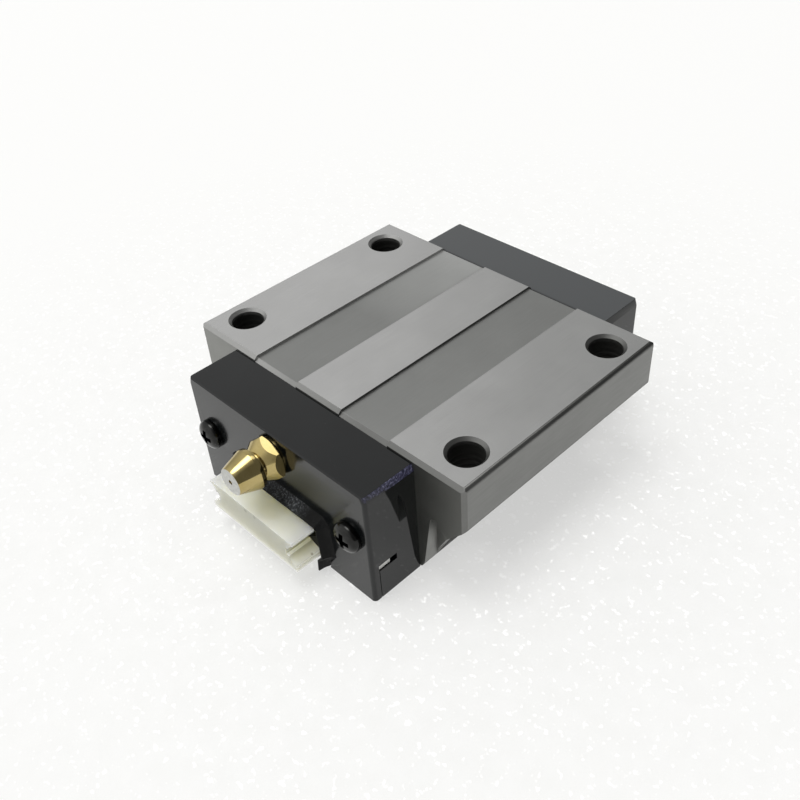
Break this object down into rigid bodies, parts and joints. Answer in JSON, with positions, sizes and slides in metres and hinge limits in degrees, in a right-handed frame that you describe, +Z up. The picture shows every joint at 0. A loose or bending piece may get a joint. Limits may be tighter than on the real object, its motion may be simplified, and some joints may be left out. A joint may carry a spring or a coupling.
{
  "type": "linear guide carriage block",
  "caption": "Low flanged ball carriage of a linear guide, with black end caps, brass grease nipple and a short plastic shipping rail in its channel.",
  "frame": {"origin": "centre of the four-hole pattern on the ground top face of the flange", "axes": "X across the rail, Y along the rail with the grease nipple at -Y, Z up out of the ground mounting face"},
  "size_m": [0.059, 0.076, 0.022],
  "materials": {
    "ground_steel": "ground bands with satin relief grooves, oiled",
    "cap_plastic": "black moulded, semi-gloss",
    "seal_rubber": "black, fine sheen",
    "white_plastic": "white moulded, satin",
    "ball_steel": "polished",
    "strip_steel": "bright drawn",
    "black_screw": "black oxide, slightly glossy",
    "nipple_brass": "turned and lightly dulled",
    "rail_plastic": "translucent ivory moulded plastic"
  },
  "bodies": {
    "carriage": {"carriage_block": "ground_steel", "front_end_cap": "cap_plastic", "rear_end_cap": "cap_plastic", "front_end_seal": "seal_rubber", "rear_end_seal": "seal_rubber", "front_seal_holder": "white_plastic", "rear_seal_holder": "white_plastic", "front_left_return_guide": "white_plastic", "front_right_return_guide": "white_plastic", "rear_left_return_guide": "white_plastic", "rear_right_return_guide": "white_plastic", "left_ball_circuit": "ball_steel", "right_ball_circuit": "ball_steel", "left_ball_retainer": "strip_steel", "right_ball_retainer": "strip_steel", "left_bottom_seal": "seal_rubber", "right_bottom_seal": "seal_rubber", "front_left_cap_screw": "black_screw", "front_right_cap_screw": "black_screw", "rear_left_cap_screw": "black_screw", "rear_right_cap_screw": "black_screw", "grease_nipple_body": "nipple_brass", "nipple_spring": "strip_steel", "rear_port_plug": "black_screw"},
    "shipping_rail": {"dummy_rail": "rail_plastic"},
    "check_ball": {"nipple_check_ball": "ball_steel"}
  },
  "joints": [
    {"name": "rail_slide", "type": "slide", "parent": "carriage", "child": "shipping_rail", "axis": [0, 1, 0], "range_m": [-0.07, 0.07]},
    {"name": "nipple_ball_slide", "type": "slide", "parent": "carriage", "child": "check_ball", "axis": [0, 1, 0], "range_m": [0, 0.0008], "stiffness_N_per_m": 200, "springref_m": -0.001, "deforming": ["nipple_spring"]}
  ]
}
